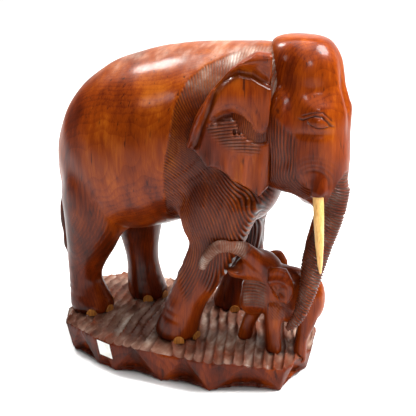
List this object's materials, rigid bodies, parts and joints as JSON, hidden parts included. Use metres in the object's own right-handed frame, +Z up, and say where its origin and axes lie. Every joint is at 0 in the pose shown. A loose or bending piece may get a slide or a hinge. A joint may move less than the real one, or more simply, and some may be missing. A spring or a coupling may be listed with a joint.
{
  "type": "elephant figurine",
  "caption": "Carved wooden elephant walking over her calf on a chip-carved base, with removable pale tusks and inlaid toenails.",
  "frame": {"origin": "underside of the base, on the mother's middle line", "axes": "+X the way the mother faces, +Y her left side, +Z up"},
  "size_m": [0.4086, 0.213, 0.4311],
  "materials": {
    "varnished_teak": "gloss varnish",
    "chip_carved_base": "varnished sides, rough dusty top",
    "pale_hardwood": "satin",
    "inlay_hardwood": "varnished",
    "paper": "matte paper"
  },
  "bodies": {
    "carving": {"base": "chip_carved_base", "mother_body": "varnished_teak", "mother_head": "varnished_teak", "mother_trunk": "varnished_teak", "mother_right_ear": "varnished_teak", "mother_left_ear": "varnished_teak", "mother_tail": "varnished_teak", "front_right_leg": "varnished_teak", "front_left_leg": "varnished_teak", "hind_right_leg": "varnished_teak", "hind_left_leg": "varnished_teak", "calf_body": "varnished_teak", "calf_head": "varnished_teak", "calf_trunk": "varnished_teak", "calf_left_ear": "varnished_teak", "calf_right_ear": "varnished_teak", "calf_front_left_leg": "varnished_teak", "calf_front_right_leg": "varnished_teak", "calf_hind_left_leg": "varnished_teak", "calf_hind_right_leg": "varnished_teak", "sticker": "paper", "front_right_nail_right": "inlay_hardwood", "front_right_nail_front": "inlay_hardwood", "front_right_nail_left": "inlay_hardwood", "front_left_nail_right": "inlay_hardwood", "front_left_nail_front": "inlay_hardwood", "front_left_nail_left": "inlay_hardwood", "hind_right_nail_right": "inlay_hardwood", "hind_right_nail_front": "inlay_hardwood", "hind_right_nail_left": "inlay_hardwood", "hind_left_nail_right": "inlay_hardwood", "hind_left_nail_front": "inlay_hardwood", "hind_left_nail_left": "inlay_hardwood"},
    "right_tusk_body": {"right_tusk": "pale_hardwood"},
    "left_tusk_body": {"left_tusk": "pale_hardwood"}
  },
  "joints": [
    {"name": "right_tusk_slide", "type": "slide", "parent": "carving", "child": "right_tusk_body", "axis": [0.1387, -0.2209, -0.9654], "range_m": [0, 0.022]},
    {"name": "left_tusk_slide", "type": "slide", "parent": "carving", "child": "left_tusk_body", "axis": [-0.128, -0.0716, -0.9892], "range_m": [0, 0.022]}
  ]
}
